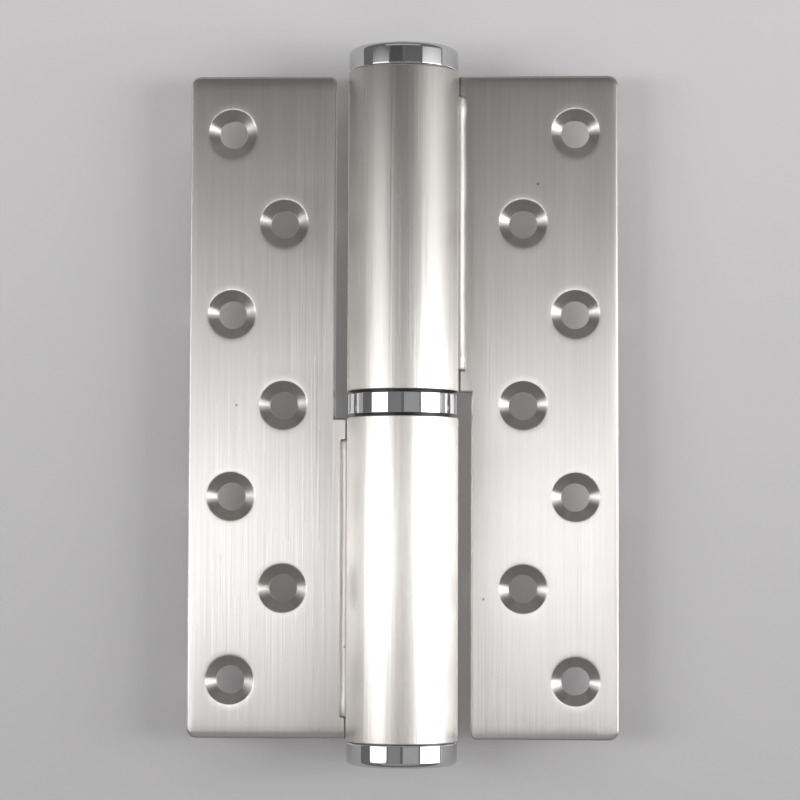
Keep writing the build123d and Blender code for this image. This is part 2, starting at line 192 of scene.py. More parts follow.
def leaf_plate():
    """Door leaf before its holes: a bar, an arm to the barrel, round corners and broken edges."""
    size = (leaf_high.x - leaf_free_edge, leaf_thickness, leaf_high.z - leaf_low.z)
    middle = ((leaf_high.x + leaf_free_edge) / 2, leaf_low.y + leaf_thickness / 2, 0)
    bpy.ops.mesh.primitive_cube_add(size=1, location=middle, scale=size)
    plate = new_piece("leaf_door")
    bpy.ops.object.mode_set(mode="EDIT")
    bpy.ops.mesh.select_all(action="SELECT")
    bpy.ops.mesh.bisect(plane_co=(0, 0, barrel_low.z), plane_no=(0, 0, 1))
    pick(plate, "faces", lambda f: f.normal.x < -0.9 and f.calc_center_median().z > barrel_low.z)
    arm = leaf_free_edge - leaf_low.x + mm
    bpy.ops.mesh.extrude_region_move(TRANSFORM_OT_translate={"value": (-arm, 0, 0)})
    bpy.ops.mesh.select_all(action="SELECT")
    bpy.ops.mesh.dissolve_limited(angle_limit=math.radians(1))
    pick(plate, "edges", lambda e: along(e, 1) and near(e.verts[0].co.x, leaf_high.x)
         and abs(e.verts[0].co.z) > leaf_high.z - mm)
    bpy.ops.mesh.bevel(offset=leaf_outer_corner, segments=10, affect="EDGES")
    pick(plate, "edges", lambda e: along(e, 1) and near(e.verts[0].co.x, leaf_free_edge)
         and e.verts[0].co.z < leaf_low.z + mm)
    bpy.ops.mesh.bevel(offset=leaf_foot_corner, segments=8, affect="EDGES")
    pick(plate, "edges", lambda e: len(e.link_faces) == 2
         and sorted(round(abs(f.normal.y)) for f in e.link_faces) == [0, 1])
    bpy.ops.mesh.bevel(offset=leaf_edge_round, segments=5, affect="EDGES")
    for reach, drop in edge_crown:
        for plane, normal in (
            ((leaf_high.x - reach, 0, 0), (1, 0, 0)),
            ((0, 0, leaf_high.z - reach), (0, 0, 1)),
            ((0, 0, leaf_low.z + reach), (0, 0, 1)),
        ):
            bpy.ops.mesh.select_all(action="SELECT")
            bpy.ops.mesh.bisect(plane_co=plane, plane_no=normal)
        pick(plate, "verts", lambda v: v.co.y < leaf_low.y + leaf_edge_round + mm / 10
             and min(leaf_high.x - v.co.x, leaf_high.z - abs(v.co.z)) < reach - mm / 100)
        bpy.ops.transform.translate(value=(0, drop, 0))
    rows = sorted(z for x, z in hole_centres("door_screw_hole"))
    for below, above in zip(rows, rows[1:]):
        bpy.ops.mesh.select_all(action="SELECT")
        bpy.ops.mesh.bisect(plane_co=(0, 0, (below + above) / 2), plane_no=(0, 0, 1))
    bpy.ops.object.mode_set(mode="OBJECT")
    return plate


def screw_hole(x, z):
    """Cutter for one countersunk hole: a rim that gets steeper inwards, then the cone and the bore."""
    radius = sink_radius + rim_roll[0][0]
    depth = rim_start
    rim = [(radius, depth)]
    for (reach, slope), (inner, _) in zip(rim_roll, rim_roll[1:]):
        depth -= (reach - inner) * math.tan(math.radians(slope))
        rim.append((sink_radius + inner, depth))
    throat = depth - (rim[-1][0] - hole_radius)
    bore = [(hole_radius, throat), (hole_radius, -2 * leaf_thickness)]
    outline = [(mm / 100, leaf_low.y), (radius, leaf_low.y)] + rim + bore + [(mm / 100, -2 * leaf_thickness)]
    cutter = spin_section("hole_cutter", outline, hole_steps)
    place = Matrix.Translation((x, leaf_low.y, z)) @ Matrix.Rotation(math.pi / 2, 4, "X")
    cutter.data.transform(place)
    return cutter


def lay_grain(piece, holes):
    """UV map whose U runs across the grain: sideways on the faces, down the slope in a countersink."""
    layer = piece.data.uv_layers.new(name="grain")
    reach = sink_radius + rim_roll[2][0]
    for face in piece.data.polygons:
        middle = face.center
        x, z = min(holes, key=lambda h: math.hypot(middle.x - h[0], middle.z - h[1]))
        inside = math.hypot(middle.x - x, middle.z - z) < reach and abs(face.normal.y) < 0.99
        facing = math.atan2(middle.z - z, middle.x - x)
        for loop in face.loop_indices:
            point = piece.data.vertices[piece.data.loops[loop].vertex_index].co
            if inside:
                turn = math.atan2(point.z - z, point.x - x) - facing
                turn = (turn + math.pi) % math.tau - math.pi
                slope = point.y - math.hypot(point.x - x, point.z - z)
                layer.data[loop].uv = (slope / mm, (facing + turn) * hole_radius / mm)
            elif abs(face.normal.x) > 0.7:
                layer.data[loop].uv = (point.y / mm, point.z / mm)
            else:
                layer.data[loop].uv = (point.x / mm, (point.z + point.y) / mm)


def group_sockets(group, direction, names):
    """Adds inputs or outputs to a node group, by name and kind."""
    for name, kind in names:
        group.interface.new_socket(name=name, in_out=direction, socket_type=kind)


def add_node(tree, kind, **settings):
    """Adds a node; settings are its own properties, or the values of its sockets by name."""
    node = tree.nodes.new(kind)
    for name, value in settings.items():
        if hasattr(node, name):
            setattr(node, name, value)
        else:
            node.inputs[name.replace("_", " ")].default_value = value
    return node


# Grain: fine lines and broader streaks, long in the direction that its scale is small in
grain_group = bpy.data.node_groups.new("grain", "ShaderNodeTree")
group_sockets(grain_group, "INPUT", [("Scale", "NodeSocketVector")])
group_sockets(grain_group, "OUTPUT", [("Lines", "NodeSocketFloat"), ("Streaks", "NodeSocketFloat")])
grain_in = add_node(grain_group, "NodeGroupInput")
grain_out = add_node(grain_group, "NodeGroupOutput")
grain_place = add_node(grain_group, "ShaderNodeTexCoord")
grain_fine = add_node(grain_group, "ShaderNodeVectorMath", operation="MULTIPLY")
grain_lines = add_node(grain_group, "ShaderNodeTexNoise", Scale=1.0, Detail=3.0, Roughness=0.6)
grain_coarse = add_node(grain_group, "ShaderNodeVectorMath", operation="SCALE")
grain_coarse.inputs["Scale"].default_value = 0.23
grain_streaks = add_node(grain_group, "ShaderNodeTexNoise", Scale=1.0, Detail=4.0, Roughness=0.65)
grain_group.links.new(grain_place.outputs["Object"], grain_fine.inputs[0])
grain_group.links.new(grain_in.outputs["Scale"], grain_fine.inputs[1])
grain_group.links.new(grain_fine.outputs["Vector"], grain_lines.inputs["Vector"])
grain_group.links.new(grain_fine.outputs["Vector"], grain_coarse.inputs[0])
grain_group.links.new(grain_coarse.outputs["Vector"], grain_streaks.inputs["Vector"])
grain_group.links.new(grain_lines.outputs["Fac"], grain_out.inputs["Lines"])
grain_group.links.new(grain_streaks.outputs["Fac"], grain_out.inputs["Streaks"])

# Handling: dull patches left by fingers, and a few small specks
handling_group = bpy.data.node_groups.new("handling", "ShaderNodeTree")
group_sockets(handling_group, "INPUT", [("Patches", "NodeSocketFloat"), ("Speck Cells", "NodeSocketFloat")])
group_sockets(handling_group, "OUTPUT", [("Smudge", "NodeSocketFloat"), ("Specks", "NodeSocketFloat")])
handling_in = add_node(handling_group, "NodeGroupInput")
handling_out = add_node(handling_group, "NodeGroupOutput")
handling_place = add_node(handling_group, "ShaderNodeTexCoord")
handling_patch = add_node(handling_group, "ShaderNodeTexNoise", Detail=4.0, Roughness=0.55)
handling_range = add_node(handling_group, "ShaderNodeMapRange", From_Min=0.42, From_Max=0.68)
handling_cells = add_node(handling_group, "ShaderNodeTexVoronoi")
handling_near = add_node(
    handling_group, "ShaderNodeMapRange", From_Min=0.035, From_Max=0.06, To_Min=1.0, To_Max=0.0
)
handling_few = add_node(handling_group, "ShaderNodeMath", operation="GREATER_THAN")
handling_few.inputs[1].default_value = 0.86
handling_specks = add_node(handling_group, "ShaderNodeMath", operation="MULTIPLY")
handling_chance = add_node(handling_group, "ShaderNodeSeparateColor")
handling_group.links.new(handling_place.outputs["Object"], handling_patch.inputs["Vector"])
handling_group.links.new(handling_in.outputs["Patches"], handling_patch.inputs["Scale"])
handling_group.links.new(handling_patch.outputs["Fac"], handling_range.inputs["Value"])
handling_group.links.new(handling_range.outputs["Result"], handling_out.inputs["Smudge"])
handling_group.links.new(handling_place.outputs["Object"], handling_cells.inputs["Vector"])
handling_group.links.new(handling_in.outputs["Speck Cells"], handling_cells.inputs["Scale"])
handling_group.links.new(handling_cells.outputs["Distance"], handling_near.inputs["Value"])
handling_group.links.new(handling_cells.outputs["Color"], handling_chance.inputs["Color"])
handling_group.links.new(handling_chance.outputs["Red"], handling_few.inputs[0])
handling_group.links.new(handling_near.outputs["Result"], handling_specks.inputs[0])
handling_group.links.new(handling_few.outputs["Value"], handling_specks.inputs[1])
handling_group.links.new(handling_specks.outputs["Value"], handling_out.inputs["Specks"])


def metal(name, dark, light, smoothest, roughest, grain_scale, relief=None, patches=70.0):
    """Bare metal: grain in its colour, gloss and any relief, with dull patches and specks on top."""
    material = bpy.data.materials.new(name)
    material.use_nodes = True
    tree = material.node_tree
    shader = tree.nodes["Principled BSDF"]
    shader.inputs["Metallic"].default_value = 1.0
    grain = add_node(tree, "ShaderNodeGroup", node_tree=grain_group)
    grain.inputs["Scale"].default_value = grain_scale
    handling = add_node(tree, "ShaderNodeGroup", node_tree=handling_group)
    handling.inputs["Patches"].default_value = patches
    handling.inputs["Speck Cells"].default_value = 160.0
    tone = add_node(tree, "ShaderNodeValToRGB")
    tone.color_ramp.elements[0].position = 0.3
    tone.color_ramp.elements[0].color = (*dark, 1)
    tone.color_ramp.elements[1].position = 0.7
    tone.color_ramp.elements[1].color = (*light, 1)
    speck = add_node(tree, "ShaderNodeMix", data_type="RGBA", blend_type="MULTIPLY")
    speck.inputs["B"].default_value = (0.45, 0.44, 0.43, 1)
    gloss = add_node(tree, "ShaderNodeMapRange", From_Min=0.3, From_Max=0.7)
    gloss.inputs["To Min"].default_value = smoothest
    gloss.inputs["To Max"].default_value = roughest
    dull = add_node(tree, "ShaderNodeMath", operation="MULTIPLY_ADD")
    dull.inputs[1].default_value = (roughest - smoothest) * 0.5
    tree.links.new(grain.outputs["Streaks"], tone.inputs["Fac"])
    tree.links.new(tone.outputs["Color"], speck.inputs["A"])
    tree.links.new(handling.outputs["Specks"], speck.inputs["Factor"])
    tree.links.new(speck.outputs["Result"], shader.inputs["Base Color"])
    tree.links.new(grain.outputs["Streaks"], gloss.inputs["Value"])
    tree.links.new(handling.outputs["Smudge"], dull.inputs[0])
    tree.links.new(gloss.outputs["Result"], dull.inputs[2])
    tree.links.new(dull.outputs["Value"], shader.inputs["Roughness"])
    if relief:
        bump = add_node(tree, "ShaderNodeBump", Strength=relief, Distance=0.02 * mm)
        tree.links.new(grain.outputs["Lines"], bump.inputs["Height"])
        tree.links.new(bump.outputs["Normal"], shader.inputs["Normal"])
    return material


# Brush: each fine line along the V of the grain map leans its own way along U, as a scratch does
brush_group = bpy.data.node_groups.new("brush", "ShaderNodeTree")
group_sockets(brush_group, "INPUT", [("Lines", "NodeSocketFloat"), ("Strokes", "NodeSocketFloat")])
group_sockets(brush_group, "INPUT", [("Lean", "NodeSocketFloat")])
group_sockets(brush_group, "OUTPUT", [("Normal", "NodeSocketVector")])
brush_in = add_node(brush_group, "NodeGroupInput")
brush_out = add_node(brush_group, "NodeGroupOutput")
brush_map = add_node(brush_group, "ShaderNodeUVMap", uv_map="grain")
brush_parts = add_node(brush_group, "ShaderNodeSeparateXYZ")
brush_u = add_node(brush_group, "ShaderNodeMath", operation="MULTIPLY")
brush_line = add_node(brush_group, "ShaderNodeMath", operation="FLOOR")
brush_start = add_node(brush_group, "ShaderNodeTexWhiteNoise", noise_dimensions="1D")
brush_v = add_node(brush_group, "ShaderNodeMath", operation="MULTIPLY_ADD")
brush_stroke = add_node(brush_group, "ShaderNodeMath", operation="FLOOR")
brush_cell = add_node(brush_group, "ShaderNodeCombineXYZ")
brush_chance = add_node(brush_group, "ShaderNodeTexWhiteNoise", noise_dimensions="2D")
brush_share = add_node(brush_group, "ShaderNodeMapRange", To_Min=-0.97, To_Max=0.97)
brush_square = add_node(brush_group, "ShaderNodeMath", operation="MULTIPLY")
brush_rest = add_node(brush_group, "ShaderNodeMath", operation="SUBTRACT")
brush_rest.inputs[0].default_value = 1.0
brush_root = add_node(brush_group, "ShaderNodeMath", operation="SQRT")
brush_slope = add_node(brush_group, "ShaderNodeMath", operation="DIVIDE")
brush_lean = add_node(brush_group, "ShaderNodeMath", operation="MULTIPLY")
brush_side = add_node(brush_group, "ShaderNodeTangent", direction_type="UV_MAP", uv_map="grain")
brush_push = add_node(brush_group, "ShaderNodeVectorMath", operation="SCALE")
brush_face = add_node(brush_group, "ShaderNodeNewGeometry")
brush_sum = add_node(brush_group, "ShaderNodeVectorMath", operation="ADD")
brush_unit = add_node(brush_group, "ShaderNodeVectorMath", operation="NORMALIZE")
for source, target in (
    (brush_map.outputs["UV"], brush_parts.inputs["Vector"]),
    (brush_parts.outputs["X"], brush_u.inputs[0]),
    (brush_in.outputs["Lines"], brush_u.inputs[1]),
    (brush_u.outputs["Value"], brush_line.inputs[0]),
    (brush_line.outputs["Value"], brush_start.inputs["W"]),
    (brush_parts.outputs["Y"], brush_v.inputs[0]),
    (brush_in.outputs["Strokes"], brush_v.inputs[1]),
    (brush_start.outputs["Value"], brush_v.inputs[2]),
    (brush_v.outputs["Value"], brush_stroke.inputs[0]),
    (brush_line.outputs["Value"], brush_cell.inputs["X"]),
    (brush_stroke.outputs["Value"], brush_cell.inputs["Y"]),
    (brush_cell.outputs["Vector"], brush_chance.inputs["Vector"]),
    (brush_chance.outputs["Value"], brush_share.inputs["Value"]),
    (brush_share.outputs["Result"], brush_square.inputs[0]),
    (brush_share.outputs["Result"], brush_square.inputs[1]),
    (brush_square.outputs["Value"], brush_rest.inputs[1]),
    (brush_rest.outputs["Value"], brush_root.inputs[0]),
    (brush_share.outputs["Result"], brush_slope.inputs[0]),
    (brush_root.outputs["Value"], brush_slope.inputs[1]),
    (brush_slope.outputs["Value"], brush_lean.inputs[0]),
    (brush_in.outputs["Lean"], brush_lean.inputs[1]),
    (brush_side.outputs["Tangent"], brush_push.inputs[0]),
    (brush_lean.outputs["Value"], brush_push.inputs["Scale"]),
    (brush_face.outputs["Normal"], brush_sum.inputs[0]),
    (brush_push.outputs["Vector"], brush_sum.inputs[1]),
    (brush_sum.outputs["Vector"], brush_unit.inputs[0]),
    (brush_unit.outputs["Vector"], brush_out.inputs["Normal"]),
):
    brush_group.links.new(source, target)


def brush(material, lines, strokes, lean):
    """Brushes a metal along the V of the grain map, by lines and strokes per millimetre."""
    tree = material.node_tree
    shader = tree.nodes["Principled BSDF"]
    shader.inputs["Anisotropic"].default_value = 1.0
    tangent = add_node(tree, "ShaderNodeTangent", direction_type="UV_MAP", uv_map="grain")
    group = add_node(tree, "ShaderNodeGroup", node_tree=brush_group)
    group.inputs["Lines"].default_value = lines
    group.inputs["Strokes"].default_value = strokes
    group.inputs["Lean"].default_value = lean
    tree.links.new(tangent.outputs["Tangent"], shader.inputs["Tangent"])
    tree.links.new(group.outputs["Normal"], shader.inputs["Normal"])


brushed_leaf = metal(
    "brushed_leaf",
    dark=(0.60, 0.582, 0.566),
    light=(0.645, 0.627, 0.61),
    smoothest=0.325,
    roughest=0.34,
    grain_scale=(5200, 5200, 55),
)
brush(brushed_leaf, lines=12, strokes=0.04, lean=0.04)

leaf_door = leaf_plate()
bpy.ops.mesh.primitive_cylinder_add(
    vertices=256, radius=barrel_radius + leaf_seam, depth=2 * barrel_high.z + 10 * mm
)
cut(leaf_door, new_piece("barrel_cutter"))
for hole in hole_centres("door_screw_hole"):
    cut(leaf_door, screw_hole(*hole))
smooth(leaf_door)
lay_grain(leaf_door, hole_centres("door_screw_hole"))
leaf_door.data.materials.append(brushed_leaf)
leaf_frame = turned_copy(leaf_door, "leaf_frame")
for leaf, body, node in ((leaf_door, "door", "door_leaf"), (leaf_frame, "frame", "frame_leaf")):
    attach(leaf, body)
    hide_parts(node)

# Barrels
# Two stainless tubes on one axis, satin polished lengthwise, with their rims just broken. The upper one
# holds the spring and the spindle's head, and the lower one the bush, the guide sleeve and the oil.
barrel_steps = 224
barrel_rim = 0.25 * mm
fit = 0.02 * mm
dowel_rise = 1.9 * mm
bush_wall = 1.0 * mm
bore_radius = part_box("guide_sleeve")[1].x + fit
spindle_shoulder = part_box("spindle_dowels")[0].z + dowel_rise
spindle_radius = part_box("spindle_bush")[1].x - bush_wall
bush_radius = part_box("spindle_bush")[1].x + fit
sleeve_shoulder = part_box("guide_sleeve")[1].z
snap_low, snap_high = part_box("sleeve_snap_ring")
snap_radius = snap_high.y + fit


def barrel_outside(low, high):
    """Outer line of a barrel's section, up from the lower rim to the upper one."""
    inset = barrel_radius - barrel_rim
    lower = arc((inset, low + barrel_rim), barrel_rim, -90, 0, 4)
    upper = arc((inset, high - barrel_rim), barrel_rim, 0, 90, 4)
    return lower + upper


def lay_round_grain(piece):
    """UV map whose U runs round the hinge axis."""
    layer = piece.data.uv_layers.new(name="grain")
    for face in piece.data.polygons:
        facing = math.atan2(face.center.y, face.center.x)
        for loop in face.loop_indices:
            point = piece.data.vertices[piece.data.loops[loop].vertex_index].co
            turn = math.atan2(point.y, point.x) - facing
            turn = (turn + math.pi) % math.tau - math.pi
            across = point.z + math.hypot(point.x, point.y)
            layer.data[loop].uv = ((facing + turn) * barrel_radius / mm, across / mm)


satin_barrel = metal(
    "satin_barrel",
    dark=(0.61, 0.585, 0.56),
    light=(0.66, 0.635, 0.61),
    smoothest=0.255,
    roughest=0.27,
    grain_scale=(3800, 3800, 40),
)
brush(satin_barrel, lines=12, strokes=0.04, lean=0.03)

upper_bore = [
    (bore_radius, barrel_high.z),
    (bore_radius, spindle_shoulder),
    (spindle_radius, spindle_shoulder),
    (spindle_radius, barrel_low.z),
]
lower_bore = [
    (bush_radius, -barrel_low.z),
    (bush_radius, sleeve_shoulder),
    (bore_radius, sleeve_shoulder),
    (bore_radius, snap_high.z),
    (snap_radius, snap_high.z),
    (snap_radius, snap_low.z),
    (bore_radius, snap_low.z),
    (bore_radius, -barrel_high.z),
]
upper_outline = barrel_outside(barrel_low.z, barrel_high.z) + upper_bore
lower_outline = barrel_outside(-barrel_high.z, -barrel_low.z) + lower_bore
for name, outline, body, node in (
    ("barrel_upper", upper_outline, "door", "upper_barrel"),
    ("barrel_lower", lower_outline, "frame", "lower_barrel"),
):
    barrel = spin_section(name, outline, barrel_steps)
    smooth(barrel)
    lay_round_grain(barrel)
    barrel.data.materials.append(satin_barrel)
    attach(barrel, body)
    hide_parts(node)

# Weld beads
# A bead of weld metal in the corner between each leaf and its barrel, laid lengthwise in small
# overlapping pools. Each pool leaves a faint ripple, and a dark crater is left at both ends.
weld_low, weld_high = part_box("upper_weld")
weld_radius = leaf_low.y - weld_low.y
weld_corner = math.sqrt(barrel_radius**2 - leaf_low.y**2)
weld_fit = 0.01 * mm
ripple_pitch = 1.05 * mm
ripple_depth = 0.006
rings_per_ripple = 6
crater_radius = 1.2 * mm
crater_out = 0.7 * mm
crater_forward = 0.5 * mm
crater_past_end = 0.1 * mm
dark_end_length = 1.5 * mm


def bead_swell(height):
    """How far the bead stands out at a height, as a share of its radius."""
    ripple = ripple_depth * (abs(math.sin(math.pi * height / ripple_pitch)) - 0.6)
    wander = 0.03 * math.sin(height / (6.3 * mm)) + 0.02 * math.sin(height / (2.7 * mm) + 1.3)
    from_end = min(height - weld_low.z, weld_high.z - height)
    drop = 0.1 * math.exp(-(((from_end - 2 * weld_radius) / weld_radius) ** 2))
    rounding = math.sqrt(max(0.0, 1 - (1 - min(from_end / weld_radius, 1)) ** 2))
    return max(0.05, rounding * (0.95 + ripple + wander + drop))


bpy.ops.object.select_all(action="DESELECT")
bpy.ops.mesh.primitive_circle_add(
    vertices=40,
    radius=weld_radius * bead_swell(weld_low.z),
    fill_type="NGON",
    location=(0, 0, weld_low.z),
    rotation=(0, 0, math.pi / 40),
)
weld_upper = new_piece("weld_upper")
bpy.ops.object.mode_set(mode="EDIT")
bpy.ops.mesh.select_mode(type="FACE")
bpy.ops.mesh.select_all(action="SELECT")
weld_rings = round((weld_high.z - weld_low.z) / ripple_pitch * rings_per_ripple)
ring_step = (weld_high.z - weld_low.z) / weld_rings
for i in range(weld_rings):
    height = weld_low.z + i * ring_step
    swell = bead_swell(height + ring_step) / bead_swell(height)
    bpy.ops.mesh.extrude_region_move(TRANSFORM_OT_translate={"value": (0, 0, ring_step)})
    bpy.ops.transform.resize(value=(swell, swell, 1), center_override=(0, 0, 0))
bpy.ops.mesh.select_all(action="SELECT")
bpy.ops.mesh.normals_make_consistent(inside=False)
bpy.ops.transform.translate(value=(weld_corner, leaf_low.y, 0))
bpy.ops.object.mode_set(mode="OBJECT")
for height in (weld_low.z - crater_past_end, weld_high.z + crater_past_end):
    bpy.ops.mesh.primitive_uv_sphere_add(
        segments=32,
        ring_count=24,
        radius=crater_radius,
        location=(weld_corner + crater_out, leaf_low.y - crater_forward, height),
    )
    cut(weld_upper, new_piece("crater_cutter"))
bpy.ops.mesh.primitive_cylinder_add(
    vertices=256, radius=barrel_radius + weld_fit, depth=2 * barrel_high.z + 10 * mm
)
cut(weld_upper, new_piece("barrel_cutter"))
behind = leaf_low.y + leaf_thickness / 2
bpy.ops.mesh.primitive_cube_add(
    size=1,
    location=(weld_corner, behind, 0),
    scale=(2 * leaf_high.x, leaf_thickness, 3 * leaf_high.z),
)
cut(weld_upper, new_piece("leaf_cutter"))
smooth(weld_upper)
weld_metal = metal(
    "weld_metal",
    dark=(0.60, 0.575, 0.55),
    light=(0.70, 0.675, 0.65),
    smoothest=0.44,
    roughest=0.52,
    grain_scale=(500, 500, 500),
    relief=0.04,
    patches=300.0,
)
weld_tree = weld_metal.node_tree
weld_middle = (weld_high.z + weld_low.z) / 2
weld_half = (weld_high.z - weld_low.z) / 2
weld_place = add_node(weld_tree, "ShaderNodeTexCoord")
weld_height = add_node(weld_tree, "ShaderNodeSeparateXYZ")
weld_side = add_node(weld_tree, "ShaderNodeMath", operation="ABSOLUTE")
weld_offset = add_node(weld_tree, "ShaderNodeMath", operation="SUBTRACT")
weld_offset.inputs[1].default_value = weld_middle
weld_reach = add_node(weld_tree, "ShaderNodeMath", operation="ABSOLUTE")
# The bead's colour is made darker near both of its ends, over the craters.
weld_dark_ends = add_node(weld_tree, "ShaderNodeMapRange", interpolation_type="SMOOTHSTEP")
weld_dark_ends.inputs["From Min"].default_value = weld_half - dark_end_length
weld_dark_ends.inputs["From Max"].default_value = weld_half - dark_end_length / 3
weld_tint = add_node(weld_tree, "ShaderNodeMix", data_type="RGBA", blend_type="MULTIPLY")
weld_tint.inputs["B"].default_value = (0.13, 0.12, 0.11, 1)
weld_shader = weld_tree.nodes["Principled BSDF"]
weld_colour = weld_shader.inputs["Base Color"].links[0].from_socket
for source, target in (
    (weld_place.outputs["Object"], weld_height.inputs["Vector"]),
    (weld_height.outputs["Z"], weld_side.inputs[0]),
    (weld_side.outputs["Value"], weld_offset.inputs[0]),
    (weld_offset.outputs["Value"], weld_reach.inputs[0]),
    (weld_reach.outputs["Value"], weld_dark_ends.inputs["Value"]),
    (weld_dark_ends.outputs["Result"], weld_tint.inputs["Factor"]),
    (weld_colour, weld_tint.inputs["A"]),
    (weld_tint.outputs["Result"], weld_shader.inputs["Base Color"]),
):
    weld_tree.links.new(source, target)
weld_upper.data.materials.append(weld_metal)
weld_lower = turned_copy(weld_upper, "weld_lower")
for weld, body, node in ((weld_upper, "door", "upper_weld"), (weld_lower, "frame", "lower_weld")):
    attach(weld, body)
    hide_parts(node)

# End caps
# Turned steel caps, polished and chromed like a mirror. A spigot holds each one in its barrel, and a
# bevelled hole lets a key through to the screw behind it.
cap_low, cap_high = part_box("top_cap")
cap_radius = cap_high.x
cap_edge_round = 1.2 * mm
cap_foot_round = 0.5 * mm
key_hole_radius = 4.5 * mm
key_hole_bevel = 0.5 * mm
key_hole_soft = 0.12 * mm

crown = arc((cap_radius - cap_edge_round, cap_high.z - cap_edge_round), cap_edge_round, 0, 90, 12)
foot = arc((cap_radius - cap_foot_round, barrel_high.z + cap_foot_round), cap_foot_round, -90, 0, 4)
bevel_radius = key_hole_radius + key_hole_bevel
bevel_mouth = arc((bevel_radius + key_hole_soft, cap_high.z - key_hole_soft), key_hole_soft, 90, 135, 3)
cap_outline = foot + crown + bevel_mouth + [
    (key_hole_radius, cap_high.z - key_hole_bevel),
    (key_hole_radius, cap_low.z),
    (bore_radius - fit, cap_low.z),
    (bore_radius - fit, barrel_high.z),
]
cap_upper = spin_section("cap_upper", cap_outline, barrel_steps)
smooth(cap_upper)
polished_chrome = metal(
    "polished_chrome",
    dark=(0.58, 0.59, 0.605),
    light=(0.62, 0.63, 0.645),
    smoothest=0.035,
    roughest=0.06,
    grain_scale=(400, 400, 400),
    relief=0.01,
    patches=180.0,
)
cap_upper.data.materials.append(polished_chrome)
cap_lower = turned_copy(cap_upper, "cap_lower")
for cap, body, node in ((cap_upper, "door", "top_cap"), (cap_lower, "frame", "bottom_cap")):
    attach(cap, body)
    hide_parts(node)

# Bearing ring
# A chromed ring that covers the ball bearing between the two barrels. It sits over both races and has a
# rib inside, between them, that keeps it in place.
ring_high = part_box("bearing_ring")[1]
ring_round = 0.15 * mm
race_low, race_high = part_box("upper_race")
race_gap = 0.05 * mm
rib_width = 0.4 * mm
rib_gap = 0.3 * mm
ring_bore = race_high.x + race_gap
ring_rib = ring_bore - rib_width
rib_height = race_low.z - rib_gap
ring_inset = ring_high.x - ring_round

ring_outline = arc((ring_inset, ring_round - ring_high.z), ring_round, -90, 0, 6)
ring_outline += arc((ring_inset, ring_high.z - ring_round), ring_round, 0, 90, 6)
ring_outline += [
    (ring_bore, ring_high.z),
    (ring_bore, rib_height),
    (ring_rib, rib_height),
    (ring_rib, -rib_height),
    (ring_bore, -rib_height),
    (ring_bore, -ring_high.z),
]
ring = spin_section("ring_between", ring_outline, barrel_steps)
smooth(ring)
ring.data.materials.append(polished_chrome)
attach(ring, "frame")
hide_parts("bearing_ring")

# Closing spring
# A coil of round spring wire in the upper barrel, with both ends ground flat. It stands on the washer of
# the piston rod. In the hinge it gets shorter as the tension plug presses its seat down; here it keeps one
# length.
spring_low, spring_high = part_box("closing_spring")
spring_length = spring_high.z - spring_low.z
spring_coils = 8
wire_radius = 1.4 * mm
coil_pitch = spring_length / spring_coils
wire_middle = (wire_radius - spring_high.x, 0, spring_low.z - coil_pitch / 2)

bpy.ops.object.select_all(action="DESELECT")
bpy.ops.mesh.primitive_circle_add(
    vertices=24, radius=wire_radius, location=wire_middle, rotation=(math.pi / 2, math.pi / 24, 0)
)
spring = new_piece("spring_closing")
coil = spring.modifiers.new("coil", "SCREW")
coil.screw_offset = coil_pitch
coil.iterations = spring_coils + 1
coil.steps = 48
coil.render_steps = 48
bpy.ops.object.modifier_apply(modifier=coil.name)
bpy.ops.object.mode_set(mode="EDIT")
bpy.ops.mesh.select_mode(type="VERT")
bpy.ops.mesh.select_all(action="SELECT")
bpy.ops.mesh.fill_holes(sides=0)
bpy.ops.mesh.select_all(action="SELECT")
bpy.ops.mesh.normals_make_consistent(inside=False)
bpy.ops.object.mode_set(mode="OBJECT")
for side, height in ((-1, spring_low.z), (1, spring_high.z)):
    bpy.ops.mesh.primitive_cube_add(
        size=1,
        location=(0, 0, height + side * coil_pitch),
        scale=(4 * spring_high.x, 4 * spring_high.x, 2 * coil_pitch),
    )
    cut(spring, new_piece("end_cutter"))
smooth(spring)
spring_steel = metal(
    "spring_steel", (0.10, 0.10, 0.105), (0.17, 0.17, 0.18), 0.28, 0.42, (700, 700, 2500), 0.2
)
spring.data.materials.append(spring_steel)
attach(spring, "door")
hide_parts("closing_spring")
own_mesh(spring)

# Inner pieces
# The mechanism inside the barrels keeps its solids. Each kind of piece gets the finish of its metal:
# ground, turned and oiled, bronze, light alloy or black rubber. The races are painted near black, as
# painted shade for the shadowed gaps beside the ring.
hard_steel = metal(
    "hard_steel", (0.50, 0.50, 0.51), (0.58, 0.58, 0.59), 0.12, 0.2, (900, 900, 900), 0.05
)
machined_steel = metal(
    "machined_steel", (0.36, 0.36, 0.37), (0.46, 0.46, 0.47), 0.25, 0.36, (120, 120, 6000), 0.25
)
bronze = metal(
    "bronze", (0.42, 0.26, 0.10), (0.55, 0.36, 0.16), 0.28, 0.4, (150, 150, 5200), 0.25
)
piston_alloy = metal(
    "piston_alloy", (0.60, 0.60, 0.61), (0.70, 0.70, 0.71), 0.25, 0.36, (120, 120, 6000), 0.25
)
seal_rubber = metal(
    "seal_rubber", (0.016, 0.016, 0.017), (0.03, 0.03, 0.031), 0.45, 0.62, (1500, 1500, 1500), 0.3
)
seal_rubber.node_tree.nodes["Principled BSDF"].inputs["Metallic"].default_value = 0.0
inner_finishes = {
    "hard_steel": hard_steel,
    "machined_steel": machined_steel,
    "bronze": bronze,
    "piston_alloy": piston_alloy,
    "seal_rubber": seal_rubber,
}
# Painted shade: the races get a near-black colour so that the gaps beside the ring read as shadowed.
greased_steel = metal(
    "greased_steel", (0.06, 0.057, 0.055), (0.09, 0.086, 0.082), 0.4, 0.55, (900, 900, 900), 0.05
)
